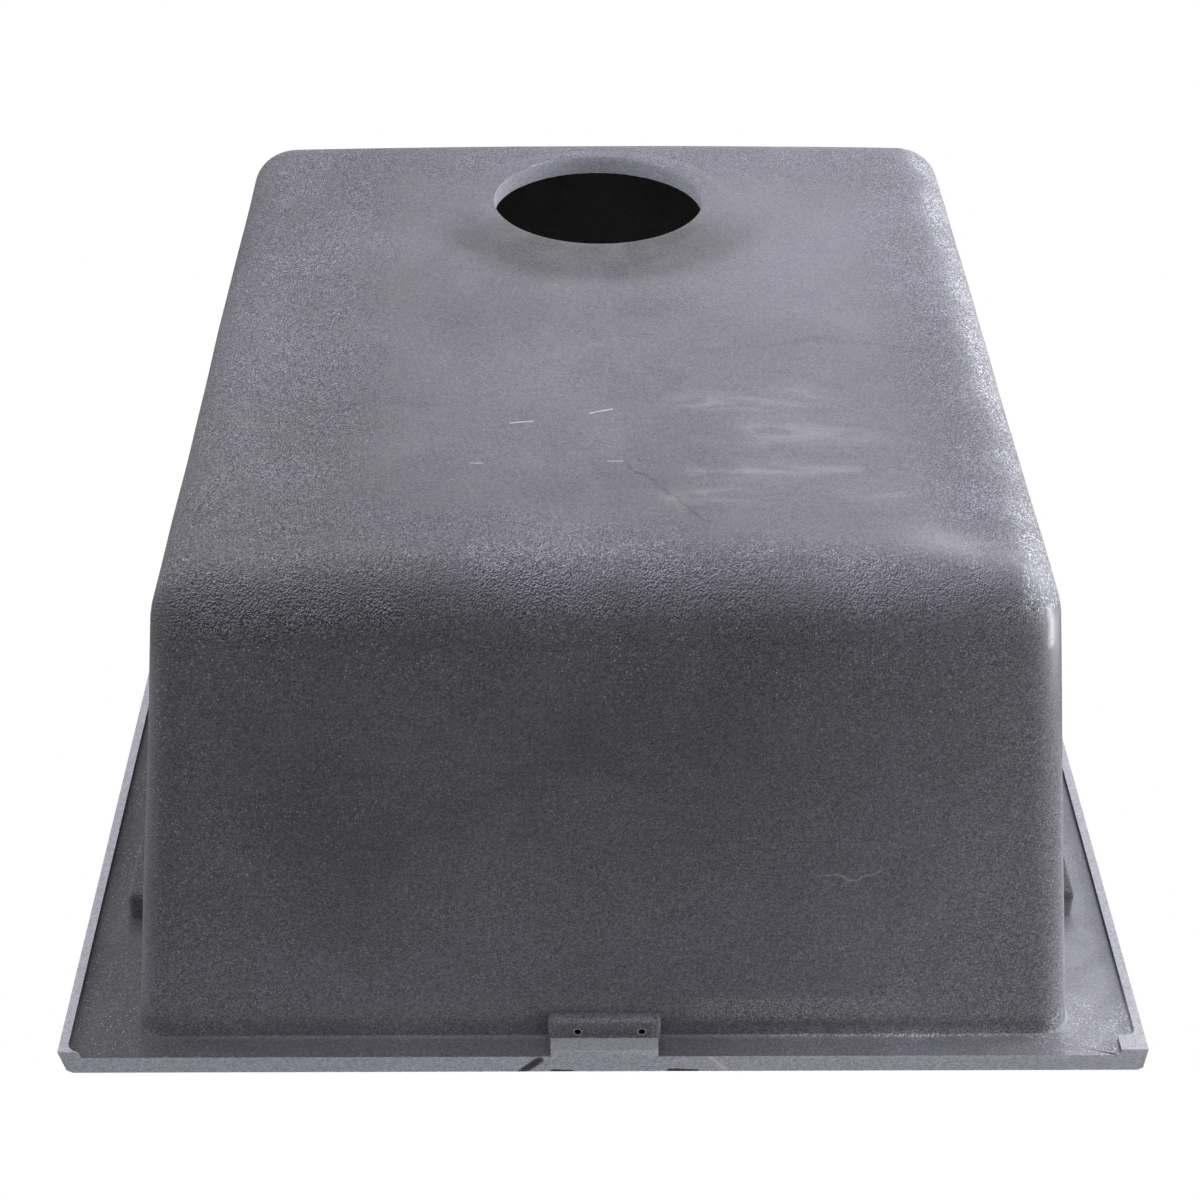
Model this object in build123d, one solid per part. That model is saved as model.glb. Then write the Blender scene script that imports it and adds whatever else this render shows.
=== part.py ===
from build123d import *
import os
from math import cos, radians

# Bar sink cast in one piece from stone composite, with a screw sleeve in every clip hole.
# Millimetres. X runs across, Y from front to rear and Z up, as the sink is used. The origin lies
# under the middle of the rim, on the plane of the drain pad that the bare sink stands on.

# Overall sizes
rim_width = 400.0
rim_length = 445.0
overall_height = 203.4

# Rim: a plate with a ground lip under its sides and rear, and a front edge ground flat
rim_thickness = 8.7
rim_draft = 6.0
rim_rear_corner = 10.0
show_edge_round = 3.0
lip_width = 3.4
lip_height = 2.8
recess_corner = 5.0
recess_open = 1.0
recess_cove = 1.8

# Corner tab, where the lip of one side turns the front corner
tab_width = 10.0
tab_length = 8.0
tab_round = 1.5
tab_cove = 3.0

# Bowl: the outside walls meet the rim on these ledges and lean in towards the floor
side_ledge = 27.0
front_ledge = 10.5
rear_ledge = 27.8
wall_draft = 5.6
wall = 8.0
foot_cove = 2.5
mouth_round = 4.0
base_round = 20.0
sump_round = 10.0
corner_over_round = 0.4

# Floor, falling from the front wall to the drain near the rear
floor_fall = 4.3
drain_from_rear = 119.8
drain_diameter = 90.0
drain_land = 8.0
seat_diameter = 114.0
seat_depth = 2.5
pad_diameter = 104.0
pad_height = 1.8
pad_flank_rear = 5.0
pad_flank_front = 15.0

# Clip bosses under the rim
boss_length = 41.5
boss_height = 11.4
boss_round = 1.8
boss_reach = 12.0
front_boss_reach = 3.7
front_pad_length = 39.6
side_boss_from_front = 99.0
side_boss_from_rear = 99.0

# Screw sleeves
sleeve_spacing = 23.6
sleeve_drop = 5.8
sleeve_outer = 3.4
sleeve_bore = 2.6
sleeve_length = 9.0
front_sleeves_aside = 2.0

# Levels and places that follow from the sizes above
overlap = 4.0
level_band = 0.01
z_show = overall_height
z_recess = z_show - rim_thickness
z_lip = z_recess - lip_height
y_front = -rim_length / 2
y_rear = rim_length / 2
foot_front = y_front + front_ledge
foot_rear = y_rear - rear_ledge
foot_width = rim_width - 2 * side_ledge
inset = wall / cos(radians(wall_draft))
drain_y = y_rear - drain_from_rear
floor_thickness = drain_land + seat_depth - pad_height


def bowl_form(step_in, top, lift, edge_round):
    """Drafted walls on a sloping floor that passes the drain's axis at a given height.

    The upright corners are a little larger than the round along the edge of the floor, so that
    the round runs on round them.
    """
    width = foot_width - 2 * step_in
    length = foot_rear - foot_front - 2 * step_in
    depth = top + overlap
    form = Pos(0, (foot_front + foot_rear) / 2, top - depth / 2) * Box(width, length, depth)
    sides = form.faces().filter_by(Axis.Z, reverse=True)
    form = draft(sides, Plane.XY.offset(z_recess), -wall_draft)
    level_edges = form.faces().filter_by(Axis.Z).edges()
    form = fillet(form.edges() - level_edges, edge_round + corner_over_round)
    uphill = (0, floor_fall / (drain_y - foot_front), 1)
    form = split(form, Plane((0, drain_y, lift), x_dir=(1, 0, 0), z_dir=uphill), Keep.TOP)
    return fillet(form.faces().sort_by(Axis.Z)[0].edges(), edge_round)


def recess():
    """Shallow space inside the lip, open to the front, with the corner tab left standing."""
    length = rim_length - lip_width + recess_open
    area = Pos(0, y_front - recess_open + length / 2) * Rectangle(rim_width - 2 * lip_width, length)
    area -= Pos(-rim_width / 2, y_front) * Rectangle(2 * tab_width, 2 * tab_length)
    rows = area.vertices().group_by(Axis.Y)
    area = fillet(rows[-1] + [rows[0].sort_by(Axis.X)[-1]], recess_corner)
    tab_back = (y_front + tab_length - level_band, y_front + tab_length + level_band)
    for end, radius in ((0, tab_cove), (-1, tab_round)):
        corners = area.vertices().filter_by_position(Axis.Y, *tab_back)
        area = fillet(corners.sort_by(Axis.X)[end], radius)
    space = Pos(0, 0, z_lip) * extrude(area, lip_height)
    ceiling = space.faces().sort_by(Axis.Z)[-1]
    open_edge = ceiling.edges().sort_by(Axis.Y)[0]
    return fillet(ceiling.edges() - [open_edge], recess_cove)


def rim_plate():
    """Drafted plate with its front ground off square and the recess cut into its underside."""
    depth = rim_thickness + lip_height
    outline = Pos(0, -overlap, z_lip) * Rectangle(rim_width, rim_length + 2 * overlap)
    outline = fillet(outline.vertices().group_by(Axis.Y)[-1], rim_rear_corner)
    plate = extrude(outline, depth, taper=rim_draft)
    front_cut = Pos(0, y_front - overlap, z_lip) * Box(2 * rim_width, 2 * overlap, 4 * depth)
    return plate - front_cut - recess()


def front_pad():
    """Block at lip level between the front boss and the ground front edge."""
    depth = front_ledge + overlap
    height = lip_height + rim_thickness / 2
    return Pos(0, y_front + depth / 2, z_lip + height / 2) * Box(front_pad_length, depth, height)


def clip_boss(reach):
    """Rounded block that stands out from the wall towards -Y, its face on the XZ plane."""
    depth = reach + overlap
    block = Pos(0, depth / 2, -boss_height / 2) * Box(boss_length, depth, boss_height)
    face = block.faces().sort_by(Axis.Y)[0]
    block = fillet(face.edges() - face.edges().group_by(Axis.Z)[-1], boss_round)
    return block + Pos(0, depth / 2, overlap / 2) * Box(boss_length, depth, overlap)


def boss_places():
    """Side, placing and reach of each clip boss: face outwards, top on the recess floor."""
    side_face = foot_width / 2 + boss_reach
    places = [
        ("front", Pos(0, foot_front - front_boss_reach, z_recess), front_boss_reach),
        ("rear", Pos(0, foot_rear + boss_reach, z_recess) * Rot(Z=180), boss_reach),
    ]
    for row in (y_front + side_boss_from_front, y_rear - side_boss_from_rear):
        places.append(("left", Pos(-side_face, row, z_recess) * Rot(Z=-90), boss_reach))
        places.append(("right", Pos(side_face, row, z_recess) * Rot(Z=90), boss_reach))
    return places


def sleeve_places(side, boss):
    """Mouths of the two screw holes of a boss, each hole running inwards along +Z."""
    middle = -front_sleeves_aside if side == "front" else 0
    offsets = (middle - sleeve_spacing / 2, middle + sleeve_spacing / 2)
    return [boss * Pos(x, 0, -sleeve_drop) * Rot(X=-90) for x in offsets]


def rod(diameter, length):
    """Cylinder that starts on the XY plane and runs along +Z."""
    return Pos(0, 0, length / 2) * Cylinder(diameter / 2, length)


def drain_pad():
    """Low flat pad round the drain, its flank long towards the front and short at the rear."""
    spread = pad_flank_front + pad_flank_rear
    shift = pad_flank_front - pad_flank_rear
    face = Pos(0, drain_y, 0) * Circle(pad_diameter / 2)
    root = Pos(0, drain_y - shift, 2 * pad_height) * Circle(pad_diameter / 2 + spread)
    return loft([face, root], ruled=True)


def drain_opening():
    """Hole through the floor with the strainer's seat above it."""
    hole = Pos(0, drain_y, -overlap) * rod(drain_diameter, drain_land + 2 * overlap)
    seat = Pos(0, drain_y, drain_land) * rod(seat_diameter, seat_depth + 2 * overlap)
    return hole + seat


def flat_face(body, z):
    """Flat face of the body that lies at height z and reaches furthest."""
    level = body.faces().filter_by(Axis.Z)
    level = level.filter_by_position(Axis.Z, z - level_band, z + level_band)
    return level.sort_by(SortBy.AREA)[-1]


def sink_bowl():
    """The whole casting."""
    body = rim_plate() + bowl_form(0, z_recess, pad_height, base_round)
    body = fillet(flat_face(body, z_recess).inner_wires()[0].edges(), foot_cove)
    body += drain_pad()
    body += front_pad()
    for _, place, reach in boss_places():
        body += place * clip_boss(reach)
    body -= bowl_form(inset, z_show, pad_height + floor_thickness, sump_round)
    body -= drain_opening()
    for side, place, _ in boss_places():
        for hole in sleeve_places(side, place):
            body -= hole * rod(sleeve_outer, sleeve_length)
    show_edges = flat_face(body, z_show).outer_wire().edges().sort_by(Axis.Y)
    body = fillet(show_edges[1:], show_edge_round)
    return fillet(flat_face(body, z_show).inner_wires()[0].edges(), mouth_round)


def clip_sleeve():
    """Plain tube that the screw of a clip bites into."""
    return rod(sleeve_outer, sleeve_length) - rod(sleeve_bore, sleeve_length)


os.makedirs("parts", exist_ok=True)
export_step(sink_bowl(), "parts/sink_bowl.step")
made = {}
for side, place, _ in boss_places():
    for hole in sleeve_places(side, place):
        made[side] = made.get(side, 0) + 1
        export_step(hole * clip_sleeve(), f"parts/clip_sleeve_{side}_{made[side]}.step")
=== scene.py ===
import math
import bmesh
import bpy
import numpy as np
from mathutils import Matrix


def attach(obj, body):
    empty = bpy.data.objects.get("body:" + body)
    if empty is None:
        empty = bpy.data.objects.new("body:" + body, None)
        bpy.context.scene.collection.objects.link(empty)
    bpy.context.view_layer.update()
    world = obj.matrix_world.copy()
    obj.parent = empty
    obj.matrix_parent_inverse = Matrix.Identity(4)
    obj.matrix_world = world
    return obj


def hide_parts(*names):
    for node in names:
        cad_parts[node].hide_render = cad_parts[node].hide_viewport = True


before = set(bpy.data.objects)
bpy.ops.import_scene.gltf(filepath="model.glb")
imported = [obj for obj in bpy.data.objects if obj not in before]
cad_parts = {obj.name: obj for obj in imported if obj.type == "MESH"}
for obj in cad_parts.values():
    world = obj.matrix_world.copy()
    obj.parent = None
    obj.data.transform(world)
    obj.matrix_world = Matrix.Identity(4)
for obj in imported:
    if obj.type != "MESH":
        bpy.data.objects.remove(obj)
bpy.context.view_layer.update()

# Sizes of the casting in millimetres, as the solids have them
MM = 0.001
Z_SHOW = 203.4
Z_RECESS = 194.7
Z_LIP = 191.9
RIM_HALF, RIM_FRONT, RIM_REAR = 200.0, -222.5, 222.5
RIM_DRAFT = math.radians(6.0)
REAR_CORNER, SHOW_ROUND = 10.0, 3.0
LIP, LIP_COVE, RECESS_CORNER = 3.4, 1.8, 5.0
TAB_INNER, TAB_BACK, TAB_COVE, TAB_ROUND = -190.0, -214.5, 3.0, 1.5
FOOT_HALF, FOOT_FRONT, FOOT_REAR = 173.0, -212.0, 194.7
DRAFT = math.radians(5.6)
LEAN = math.tan(DRAFT)
WALL_STEP = 8.0 / math.cos(DRAFT)
MOUTH_ROUND, BASE_ROUND, SUMP_ROUND, SUMP_CORNER = 4.0, 20.0, 10.0, 10.4
MOUTH_HALF, MOUTH_FRONT, MOUTH_REAR = FOOT_HALF - WALL_STEP, FOOT_FRONT + WALL_STEP, FOOT_REAR - WALL_STEP
MOUTH_CENTRE = (Z_SHOW - MOUTH_ROUND - Z_RECESS) * LEAN + MOUTH_ROUND / math.cos(DRAFT)
WALL_END = BASE_ROUND * (1 - math.sin(DRAFT))
DRAIN_Y, DRAIN_R, SEAT_R, PAD_R = 102.7, 45.0, 57.0, 52.0
LAND, FLOOR_THICK, PAD_HEIGHT = 8.0, 8.7, 1.8
PAD_FLANK, PAD_FLANK_SHIFT = 10.0, 5.0
FLOOR_SLOPE = 4.3 / (DRAIN_Y - FOOT_FRONT)
BOSS_HALF, BOSS_HEIGHT, BOSS_ROUND = 20.75, 11.4, 1.8
BOSS_REACH, FRONT_REACH, SIDE_BOSS_Y = 12.0, 3.7, 123.5
PAD_HALF, PAD_REAR = 19.8, -206.0
HOLE_SPACING, HOLE_DROP, HOLE_R, HOLE_DEPTH = 23.6, 5.8, 1.7, 9.0
FRONT_HOLES_ASIDE = 2.0

# Small forms that the scene has and the solids haven't, or have in another size
FOOT_COVE, FRONT_BREAK = 1.3, 1.3
FOOT_CORNER, BASE_CORNER, BASE_END_CORNER = 12.0, 15.0, 2.4
CORNER_LEAN, CORNER_LEAN_RUN, CORNER_LEAN_FROM = 1.9, 26.0, 150.0
UNDER_SET, UNDER_TWIST, UNDER_CROWN = -0.15, 0.0058, 7.8e-5
PAD_REAR_IN = 4.5

# Samples round the casting
CROSS, LONG, CORNER = 84, 100, 12
TAB_SIDE_STEP = 3.2
QUARTER = math.pi / 2


def walk_round():
    """One lap of a rounded rectangle from the front left corner by the right, rear and left sides:
    along a side one weight runs from end to end, in a corner the turn sweeps a quarter circle."""
    cross = np.linspace(-1, 1, CROSS, endpoint=False)
    side = np.linspace(0, 1, LONG, endpoint=False)
    sweep = np.linspace(0, 1, CORNER, endpoint=False)
    stretches = ((cross, 0, -1), (1, 0, sweep - 1), (1, side, 0), (1, 1, sweep),
                 (-cross, 1, 1), (-1, 1, sweep + 1), (-1, 1 - side, 2), (-1, 0, sweep + 2))
    across, along, turn = np.hstack([np.stack(np.broadcast_arrays(*s)) for s in stretches])
    return across, along, turn * QUARTER


ACROSS, ALONG, TURN = walk_round()
AT_FRONT = np.arange(ACROSS.size) <= CROSS
FRONT_HALF = ALONG < 0.5
OUT = np.stack([np.cos(TURN), np.sin(TURN)])
SQUARE_OUT = OUT / np.abs(OUT).max(0)
FACES_FRONT = FRONT_HALF & (OUT[1] < -0.75)


def smooth(value, low, high):
    """Smooth step from nought at low to one at high."""
    share = np.clip((value - low) / (high - low), 0, 1)
    return share * share * (3 - 2 * share)


def bell(value, middle, spread):
    """Bell curve: one at the middle, about a third at the spread's distance."""
    return np.exp(-((value - middle) / spread) ** 2)


def column(value):
    """A list of stations as a column, so that it spreads over the lap."""
    value = np.asarray(value, float)
    return value[:, None] if value.ndim == 1 else value


def arc(start, end, count):
    """Angles in even steps, as a column."""
    return column(np.linspace(start, end, count))


def step(count):
    """Shares from nought to one, as a column."""
    return column(np.linspace(0, 1, count))


def rounded_loops(half, front, rear, radius):
    """Rounded rectangles: the corner's centre, which the weights slide between the corners, plus
    the radius along the turn."""
    half, front, rear, radius = map(column, (half, front, rear, radius))
    x = ACROSS * (half - radius) + radius * OUT[0]
    y = front + radius + ALONG * (rear - front - 2 * radius) + radius * OUT[1]
    return x, y


def foot_loops(out, corner):
    """Outlines of the bowl's outside, grown by a distance from the foot of the wall."""
    return rounded_loops(FOOT_HALF + out, FOOT_FRONT - out, FOOT_REAR + out, corner)


def mouth_loops(out, corner):
    """Outlines of the bowl's inside, grown by a distance from its wall at the recess's level."""
    return rounded_loops(MOUTH_HALF + out, MOUTH_FRONT - out, MOUTH_REAR + out, corner)


def rim_loops(half, front, rear):
    """Outlines of the rim: rounded at the rear, square at the front, where the corner's circle
    is stretched to a square."""
    half, front, rear = map(column, (half, front, rear))
    square = LIP + RECESS_CORNER
    corner = np.where(FRONT_HALF, square, REAR_CORNER)
    out = np.where(FRONT_HALF, SQUARE_OUT, OUT)
    x = ACROSS * (half - corner) + corner * out[0]
    y = front + square + ALONG * (rear - front - square - REAR_CORNER) + corner * out[1]
    return x, y


def recess_edge():
    """Outline of the recess and the way into it at each sample: rounded at its corners, open along
    the front and turning round the tab."""
    half, rear = RIM_HALF - LIP, RIM_REAR - LIP
    long_side = rear - RIM_FRONT - 2 * RECESS_CORNER
    x = ACROSS * (half - RECESS_CORNER) + RECESS_CORNER * OUT[0]
    y = RIM_FRONT + RECESS_CORNER + ALONG * long_side + RECESS_CORNER * OUT[1]
    inward = -OUT.copy()
    x[:CROSS] = np.linspace(TAB_INNER, half - RECESS_CORNER, CROSS, endpoint=False)
    y[:CROSS] = RIM_FRONT
    inward[:, AT_FRONT] = 0
    left = slice(-CORNER - LONG, -CORNER)
    x[left] = -half
    y[left] = rear - RECESS_CORNER + (1 - ALONG[left]) * (TAB_BACK + TAB_COVE - rear + RECESS_CORNER)
    cove = np.radians(np.linspace(180, 270, 5))
    nose = np.radians(np.linspace(90, 0, 5))
    x[-CORNER:] = np.hstack([TAB_COVE - half + TAB_COVE * np.cos(cove),
                             TAB_INNER - TAB_ROUND + TAB_ROUND * np.cos(nose), [TAB_INNER] * 2])
    y[-CORNER:] = np.hstack([TAB_BACK + TAB_COVE + TAB_COVE * np.sin(cove),
                             TAB_BACK - TAB_ROUND + TAB_ROUND * np.sin(nose),
                             [RIM_FRONT + TAB_SIDE_STEP, RIM_FRONT]])
    inward[0, -CORNER:] = np.hstack([-np.cos(cove), np.cos(nose), [1, 1]])
    inward[1, -CORNER:] = np.hstack([-np.sin(cove), np.sin(nose), [0, 0]])
    return x, y, inward


def corner_lean(x, y, z):
    """How far the rim's right side draws in at the front, growing towards the show face."""
    rise = np.clip((z - Z_LIP) / (Z_SHOW - Z_LIP), 0, 1)
    return CORNER_LEAN * bell(y, RIM_FRONT, CORNER_LEAN_RUN) * (x > CORNER_LEAN_FROM) * rise


def slow_wave(x, y, z):
    """Unevenness of the casting in millimetres: three slow sines across each other."""
    return (0.16 * np.sin(x / 23 + 0.7 + z / 41) * np.sin(y / 31 + 0.4)
            + 0.12 * np.sin(x / 13 - y / 17 + 2.1) * np.sin(z / 19 + y / 29 + 1.0)
            + 0.10 * np.sin(y / 11 + x / 37 + z / 15))


def under_floor(x, y):
    """Height of the underside: falls to the rear, and the long edges stand a little higher."""
    fall = PAD_HEIGHT + FLOOR_SLOPE * (DRAIN_Y - y)
    return fall + UNDER_SET + UNDER_TWIST * x + UNDER_CROWN * x ** 2


def inner_floor(y):
    """Height of the floor inside: falls to the rear, one floor's thickness above the outside."""
    return PAD_HEIGHT + FLOOR_THICK + FLOOR_SLOPE * (DRAIN_Y - y)


class Band:
    """Rings of points that follow each other, every one with as many points as the lap."""

    def __init__(self):
        self.rings = []

    def add(self, x, y, z):
        self.rings.append(np.stack(np.broadcast_arrays(x, y, z, ACROSS[None])[:3], -1))

    def last(self):
        """X, Y and Z of the newest ring."""
        return np.moveaxis(self.rings[-1][-1:], -1, 0)

    def towards(self, x, y, count):
        """Outlines in even steps from the newest ring to another outline, without the two."""
        share = step(count)[1:-1]
        from_x, from_y, _ = self.last()
        return from_x + share * (x - from_x), from_y + share * (y - from_y)


def add_rim(band):
    """Mouth round, show face, the rim's edge and leaning side, and the lip."""
    round_in = arc(math.pi - DRAFT, QUARTER, 7)
    out = MOUTH_CENTRE + MOUTH_ROUND * np.cos(round_in)
    x, y = mouth_loops(out, SUMP_CORNER + out)
    band.add(x, y, Z_SHOW - MOUTH_ROUND + MOUTH_ROUND * np.sin(round_in))

    edge = arc(QUARTER, RIM_DRAFT, 7)
    share = (1 - np.sin(edge)) / (1 - math.sin(RIM_DRAFT))
    height = Z_SHOW - np.where(FACES_FRONT, FRONT_BREAK * share, SHOW_ROUND * (1 - np.sin(edge)))
    side_in = (Z_SHOW - SHOW_ROUND - Z_LIP) * math.tan(RIM_DRAFT) + SHOW_ROUND / math.cos(RIM_DRAFT)
    inset = side_in - SHOW_ROUND * np.cos(edge)
    x, y = rim_loops(RIM_HALF - inset, RIM_FRONT + FRONT_BREAK * (1 - share), RIM_REAR - inset)
    band.add(*band.towards(x[:1], y[:1], 7), Z_SHOW)
    band.add(x - corner_lean(x, y, height), y, height)

    side_top = Z_SHOW - SHOW_ROUND * (1 - math.sin(RIM_DRAFT))
    height = side_top + step(4)[1:] * (Z_RECESS - side_top)
    inset = (height - Z_LIP) * math.tan(RIM_DRAFT)
    x, y = rim_loops(RIM_HALF - inset, RIM_FRONT + 0 * inset, RIM_REAR - inset)
    band.add(x - corner_lean(x, y, height), y, height)
    band.add(*rim_loops([RIM_HALF], [RIM_FRONT], [RIM_REAR]), np.where(AT_FRONT, Z_RECESS, Z_LIP))


def add_recess(band):
    """Recess: the lip's inner edge and wall, its cove and the floor up to the foot of the bowl."""
    x, y, inward = recess_edge()
    band.add(x, y, np.where(AT_FRONT, Z_RECESS, Z_LIP))
    cove = arc(0, QUARTER, 5)
    into = LIP_COVE * (1 - np.cos(cove))
    height = Z_RECESS - LIP_COVE + LIP_COVE * np.sin(cove)
    band.add(x + inward[0] * into, y + inward[1] * into, np.where(AT_FRONT, Z_RECESS, height))
    foot = arc(QUARTER, 0, 6)
    out = FOOT_COVE * (1 - np.cos(foot))
    x, y = foot_loops(out, FOOT_CORNER + out)
    band.add(*band.towards(x[:1], y[:1], 6), Z_RECESS)
    band.add(x, y, Z_RECESS - FOOT_COVE + FOOT_COVE * np.sin(foot))


def add_outside(band):
    """Outside wall and the round along the bottom."""
    base_in = (Z_RECESS - PAD_HEIGHT) * LEAN
    floor = under_floor(*foot_loops(column([-base_in]), column([BASE_CORNER])))
    down = step(40)[1:]
    height = (Z_RECESS - FOOT_COVE) + down * (floor + WALL_END - Z_RECESS + FOOT_COVE)
    x, y = foot_loops((height - Z_RECESS) * LEAN, FOOT_CORNER + down * (BASE_CORNER - FOOT_CORNER))
    swell = slow_wave(x, y, height) * np.clip(down * 6, 0, 1)
    band.add(x + OUT[0] * swell, y + OUT[1] * swell, height)

    swell = swell[-1:]
    bottom = arc(DRAFT, QUARTER, 12)[1:]
    out = BASE_ROUND * np.cos(bottom) - WALL_END / math.cos(DRAFT)
    corner = BASE_END_CORNER + (BASE_CORNER - BASE_END_CORNER) * (out - out[-1:]) / -out[-1:]
    x, y = foot_loops(out - (Z_RECESS - floor) * LEAN, corner)
    fade = np.cos(bottom)
    band.add(x + OUT[0] * swell * fade, y + OUT[1] * swell * fade,
             under_floor(x, y) + BASE_ROUND * (1 - np.sin(bottom)))


def add_underside(band):
    """Underside, the pad's flank, the pad, the drain's wall with its chipped edge, and the seat."""
    edge_x, edge_y, _ = band.last()
    edge_y = edge_y - DRAIN_Y
    bearing = np.arctan2(edge_y, edge_x)
    rearward = np.sin(bearing)
    spread = PAD_FLANK - PAD_FLANK_SHIFT * rearward
    flank_foot = (PAD_R + spread) / (1 + FLOOR_SLOPE / PAD_HEIGHT * spread * rearward)
    flank_foot = np.minimum(flank_foot, np.hypot(edge_x, edge_y) - 0.8)

    def circle(radius, height):
        band.add(radius * np.cos(bearing), DRAIN_Y + radius * rearward, height)

    foot_x, foot_y = flank_foot * np.cos(bearing), DRAIN_Y + flank_foot * rearward
    x, y = band.towards(foot_x, foot_y, 44)
    share = step(44)[1:-1]
    calm = smooth(np.hypot(edge_x - foot_x, edge_y + DRAIN_Y - foot_y), 4, 40)
    ends = np.clip(share * 5, 0, 1) * np.clip((1 - share) * 5, 0, 1)
    band.add(x, y, under_floor(x, y) + 0.25 * np.abs(slow_wave(x, y, 0)) * ends * calm)

    share = step(8)
    ease = 0.5 * smooth(share, 0, 1) + 0.5 * share
    pad_edge = PAD_R - PAD_REAR_IN * smooth(rearward, 0.7, 1.0)
    circle(flank_foot + share * (pad_edge - flank_foot), under_floor(foot_x, foot_y) * (1 - ease))
    circle(DRAIN_R + (pad_edge - DRAIN_R) * column([0.7, 0.3, 0.07]), 0.0)
    chips = np.random.default_rng(5).uniform(0, 0.7, bearing.shape) ** 2
    circle(column([DRAIN_R + 0.15, DRAIN_R, DRAIN_R, DRAIN_R]), column([0.15, 0.5, 2.8, 5.4]))
    circle(DRAIN_R, LAND - 0.4 - chips)
    circle(DRAIN_R + 0.2 + 0.6 * chips, LAND - 0.1)
    circle(column([DRAIN_R + 0.9, DRAIN_R + 4, SEAT_R - 1.2]), LAND)
    circle(column([SEAT_R - 0.3, SEAT_R, SEAT_R]), LAND + column([0.3, 1.2, 1.5]))
    seat_top = inner_floor(DRAIN_Y + SEAT_R * rearward)
    circle(SEAT_R + column([0.15, 0.6]), seat_top - column([0.2, 0.0]))


def add_inside(band):
    """Inside: floor, the round along its edge and the wall up to the mouth."""
    base_in = (Z_RECESS - PAD_HEIGHT - FLOOR_THICK) * LEAN
    floor = inner_floor(mouth_loops(column([-base_in]), column([SUMP_CORNER]))[1])
    sump = arc(QUARTER, DRAFT, 9)
    out = SUMP_ROUND * np.cos(sump) - SUMP_ROUND * (1 - math.sin(DRAFT)) / math.cos(DRAFT)
    x, y = mouth_loops(out - (Z_RECESS - floor) * LEAN, SUMP_CORNER + out)
    across, along = band.towards(x[:1], y[:1], 26)
    band.add(across, along, inner_floor(along))
    band.add(x, y, floor + SUMP_ROUND * (1 - np.sin(sump)))

    low = band.last()[2]
    up = step(26)[1:-1]
    height = low + up * (Z_SHOW - MOUTH_ROUND + MOUTH_ROUND * math.sin(DRAFT) - low)
    mouth_out = MOUTH_CENTRE - MOUTH_ROUND * math.cos(DRAFT)
    corner = SUMP_CORNER + WALL_END * LEAN * 0.5 * (1 - up) + up * mouth_out
    x, y = mouth_loops((height - Z_RECESS) * LEAN, corner)
    band.add(x, y, height)


def casting_rings():
    """The casting as one closed band of rings, from the mouth over the rim, down the outside,
    under the floor, up through the drain and back up the inside."""
    band = Band()
    for add in (add_rim, add_recess, add_outside, add_underside, add_inside):
        add(band)
    return np.concatenate(band.rings)


def filled_mesh(name, points, faces):
    """Mesh of points in millimetres and of faces."""
    mesh = bpy.data.meshes.new(name)
    mesh.from_pydata(points * MM, [], faces)
    return mesh


def band_mesh(name, rings):
    """Closed band: every ring joins the next one and the last joins the first, in quads."""
    rows, columns = rings.shape[:2]
    index = np.arange(rows * columns).reshape(rows, columns)
    below = np.roll(index, -1, 0)
    faces = np.stack([index, np.roll(index, -1, 1), np.roll(below, -1, 1), below], -1)
    return filled_mesh(name, rings.reshape(-1, 3), faces.reshape(-1, 4).tolist())


def stack_mesh(name, rings):
    """Closed stack: rings joined in quads, the first and the last ring filled by one face."""
    rows, columns = rings.shape[:2]
    index = np.arange(rows * columns).reshape(rows, columns)
    side = np.roll(index, -1, 1)
    faces = np.stack([index[:-1], side[:-1], side[1:], index[1:]], -1).reshape(-1, 4).tolist()
    faces += [index[0, ::-1].tolist(), index[-1].tolist()]
    return filled_mesh(name, rings.reshape(-1, 3), faces)


def placed(name, mesh):
    """Object at the origin, unturned, for a mesh that holds its own place."""
    piece = bpy.data.objects.new(name, mesh)
    bpy.context.scene.collection.objects.link(piece)
    return piece


def block_loops(half, low, high, corner, points):
    """Rounded rectangles of a small block: corner centres plus the radius along the turn."""
    half, low, high, corner = map(column, (half, low, high, corner))
    turn = np.linspace(0, 2 * math.pi, points, endpoint=False) + math.pi / points
    sx, sy = np.sign(np.cos(turn)), np.sign(np.sin(turn))
    across = sx * (half - corner) + corner * np.cos(turn)
    up = (low + high) / 2 + sy * ((high - low) / 2 - corner) + corner * np.sin(turn)
    return across, up


def boss_rings(reach):
    """Clip boss: a rounded block whose face's edges are quarter circles, as place along the boss,
    distance out from the foot of the wall and height."""
    edge = np.linspace(0, QUARTER, 6)
    inset = np.hstack([[0, 0], BOSS_ROUND * (1 - np.cos(edge))])
    depth = np.hstack([[-4, reach / 2 - 1], reach - BOSS_ROUND + BOSS_ROUND * np.sin(edge)])
    low, high = Z_RECESS - BOSS_HEIGHT, Z_RECESS + 3.5
    along, height = block_loops(BOSS_HALF - inset, low + inset, high - inset,
                                BOSS_ROUND + 0.3 - 0.75 * inset, 32)
    return along, np.broadcast_to(column(depth), along.shape), height


def pad_rings():
    """Pad at lip level in front of the front boss: a block whose lower edge is just broken."""
    inset = column([0.25, 0.0, 0.0, 0.35])
    height = column([Z_LIP, Z_LIP + 0.25, Z_RECESS + 0.02, Z_RECESS + 3.0])
    x, y = block_loops(PAD_HALF - inset, RIM_FRONT + 0.01 + inset, PAD_REAR + 0 * inset, 0.4 + 0 * inset, 16)
    return np.stack([x, y, np.broadcast_to(height, x.shape)], -1)


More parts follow.
